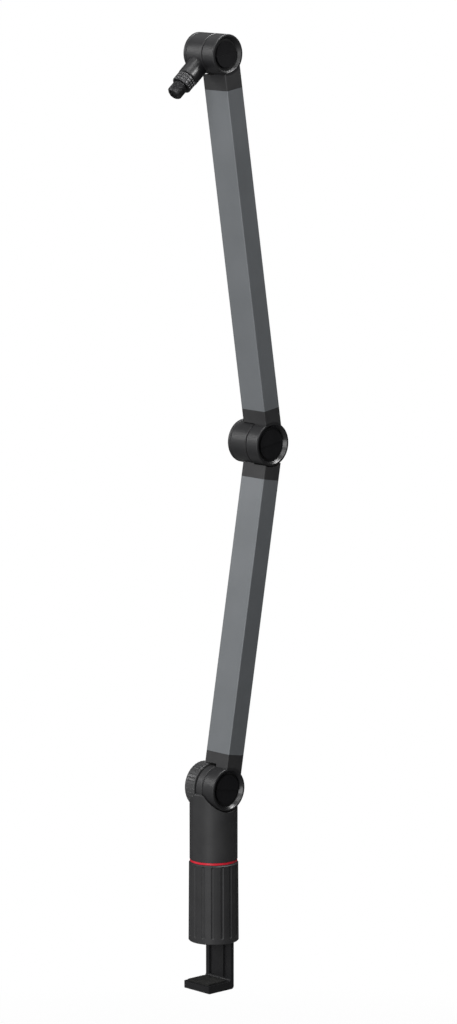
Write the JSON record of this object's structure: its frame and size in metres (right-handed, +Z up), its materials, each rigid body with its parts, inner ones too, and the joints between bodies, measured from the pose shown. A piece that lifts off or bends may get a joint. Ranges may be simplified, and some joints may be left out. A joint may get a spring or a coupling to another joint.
{
  "type": "microphone boom arm",
  "caption": "Desk-clamp microphone boom arm: swivelling round column, rectangular tubes joined by round friction hubs, and a tilting threaded stud for a microphone.",
  "frame": {"origin": "on the column's swivel axis, in the plane of the clamp's desk pad, which rests on the desk top", "axes": "+Z up along the swivel axis; -Y to the front, where the clamp mouth and the microphone stud point; the arm's pivots lie along X, with the ribbed knob on the -X side"},
  "size_m": [0.0522, 0.1371, 0.9898],
  "materials": {
    "grey_aluminium": "satin grey anodising over an extruded tube",
    "black_plastic": "fine moulded grain, satin black",
    "cap_plastic": "smooth satin black",
    "knob_plastic": "ribbed satin black",
    "red_plastic": "smooth red accent",
    "black_steel": "black powder coat",
    "stud_steel": "black oxide",
    "bright_steel": "zinc-plated",
    "brass": "machined",
    "bearing_plastic": "low-friction bearing plastic",
    "friction_fibre": "pressed friction lining",
    "black_rubber": "soft black rubber"
  },
  "bodies": {
    "base": {"base_core": "black_plastic", "base_pad": "black_rubber", "accent_ring": "red_plastic"},
    "sleeve": {"clamp_sleeve": "black_plastic", "thread_ring": "brass"},
    "jaw": {"jaw_bracket": "black_steel", "jaw_pad": "black_rubber"},
    "column": {"column_housing": "black_plastic", "swivel_bush": "bearing_plastic", "swivel_insert": "brass", "swivel_bolt": "bright_steel", "swivel_washer": "bright_steel", "swivel_springs": "bright_steel", "shoulder_bush": "bearing_plastic", "shoulder_disc": "friction_fibre"},
    "knob": {"shoulder_knob": "knob_plastic", "knob_insert": "brass", "knob_washer": "bright_steel"},
    "lower_arm": {"lower_tube": "grey_aluminium", "lower_tube_screws": "black_steel", "lower_arm_foot": "black_plastic", "lower_arm_head": "black_plastic", "shoulder_bolt": "bright_steel", "shoulder_cap": "cap_plastic", "elbow_bush": "bearing_plastic", "elbow_disc": "friction_fibre", "elbow_lid": "black_plastic"},
    "upper_arm": {"upper_tube": "grey_aluminium", "upper_tube_screws": "black_steel", "upper_arm_foot": "black_plastic", "upper_arm_head": "black_plastic", "elbow_bolt": "bright_steel", "elbow_springs": "bright_steel", "elbow_nut": "bright_steel", "elbow_cap": "cap_plastic", "head_bolt": "bright_steel", "head_springs": "bright_steel", "head_nut": "bright_steel", "head_cap": "cap_plastic"},
    "mic_head": {"head_hub": "black_plastic", "head_bush": "bearing_plastic", "head_disc": "friction_fibre", "head_lid": "black_plastic", "mic_stud": "stud_steel", "thread_adapter": "stud_steel"},
    "ring_nut": {"lock_ring": "stud_steel"}
  },
  "joints": [
    {"name": "sleeve_turn", "type": "hinge", "parent": "base", "child": "sleeve", "pos_m": [0, 0, 0.04], "axis": [0, 0, -1], "range_deg": [-1368, 2376]},
    {"name": "jaw_slide", "type": "slide", "parent": "base", "child": "jaw", "axis": [0, 0, 1], "range_m": [-0.019, 0.033]},
    {"name": "column_swivel", "type": "hinge", "parent": "base", "child": "column", "pos_m": [0, 0, 0.1], "axis": [0, 0, 1], "continuous": true},
    {"name": "knob_turn", "type": "hinge", "parent": "column", "child": "knob", "pos_m": [0.0063, 0, 0.1622], "axis": [-1, 0, 0], "range_deg": [0, 360]},
    {"name": "shoulder_pitch", "type": "hinge", "parent": "column", "child": "lower_arm", "pos_m": [0.0063, 0, 0.1622], "axis": [1, 0, 0], "range_deg": [-50, 92]},
    {"name": "elbow_pitch", "type": "hinge", "parent": "lower_arm", "child": "upper_arm", "pos_m": [0.0063, 0.06165, 0.51546], "axis": [1, 0, 0], "range_deg": [-110, 125]},
    {"name": "head_tilt", "type": "hinge", "parent": "upper_arm", "child": "mic_head", "pos_m": [0.0063, -0.00142, 0.91825], "axis": [1, 0, 0], "range_deg": [-215, 9]},
    {"name": "ring_turn", "type": "hinge", "parent": "mic_head", "child": "ring_nut", "pos_m": [-0.00555, -0.03483, 0.89071], "axis": [0, -0.7716, -0.6361], "range_deg": [-60, 60]}
  ],
  "couplings": [
    {"joint": "jaw_slide", "follows": "sleeve_turn", "m_per_rad": 0.00079577}
  ]
}
